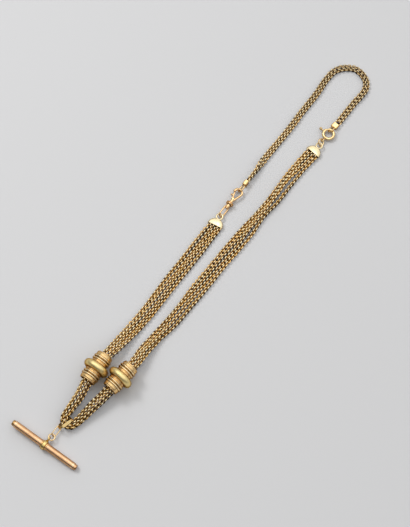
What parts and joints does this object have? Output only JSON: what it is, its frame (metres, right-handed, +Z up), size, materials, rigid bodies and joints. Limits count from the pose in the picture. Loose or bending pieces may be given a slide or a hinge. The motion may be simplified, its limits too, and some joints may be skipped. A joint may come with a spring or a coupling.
{
  "type": "albert watch chain",
  "caption": "Multi-strand albert watch chain with T-bar, turned slides, flat end caps, dog clip, bolt ring and doubled extension chain, laid as one closed loop.",
  "frame": {"origin": "middle of the laid loop's box, on the table it lies on", "axes": "+Z up from the table; +Y towards the extension chain; the T-bar lies at -X, -Y"},
  "size_m": [0.1735, 0.2093, 0.0128],
  "materials": {
    "rose_gold": "polished rose gold",
    "yellow_gold": "polished yellow gold",
    "chain_gold": "worn yellow gold, darker between the links",
    "green_gold": "satin green gold with polished rims",
    "pale_gold": "polished pale gold"
  },
  "bodies": {
    "chain": {"t_bar": "rose_gold", "t_bar_ring": "yellow_gold", "oval_link": "yellow_gold", "bail": "yellow_gold", "strand_1": "chain_gold", "strand_2": "chain_gold", "strand_3": "chain_gold", "strand_4": "chain_gold", "slide_left": "green_gold", "slide_right": "green_gold", "end_cap_left": "pale_gold", "end_cap_right": "pale_gold", "clip_hook": "yellow_gold", "chain_cap_a": "pale_gold", "extension_1": "chain_gold", "extension_2": "chain_gold", "chain_cap_b": "pale_gold", "bolt_ring": "pale_gold", "jump_ring": "yellow_gold"},
    "clip_shackle": {"clip_shackle": "yellow_gold"},
    "clip_lever": {"clip_lever": "yellow_gold"},
    "bolt_trigger": {"bolt_trigger": "pale_gold"}
  },
  "joints": [
    {"name": "shackle_swivel", "type": "hinge", "parent": "chain", "child": "clip_shackle", "pos_m": [0.015, 0.02732, 0.0019], "axis": [0.5878, 0.809, 0], "range_deg": [-4, 20]},
    {"name": "lever_pivot", "type": "hinge", "parent": "chain", "child": "clip_lever", "pos_m": [0.01636, 0.03004, 0.0019], "axis": [0, 0, -1], "range_deg": [0, 25], "stiffness_Nm_per_rad": 0.0002, "springref_deg": -17.19},
    {"name": "bolt_slide", "type": "hinge", "parent": "chain", "child": "bolt_trigger", "pos_m": [0.06475, 0.06512, 0.0016], "axis": [0, 0, 1], "range_deg": [0, 40], "stiffness_Nm_per_rad": 0.0002, "springref_deg": -17.19}
  ]
}
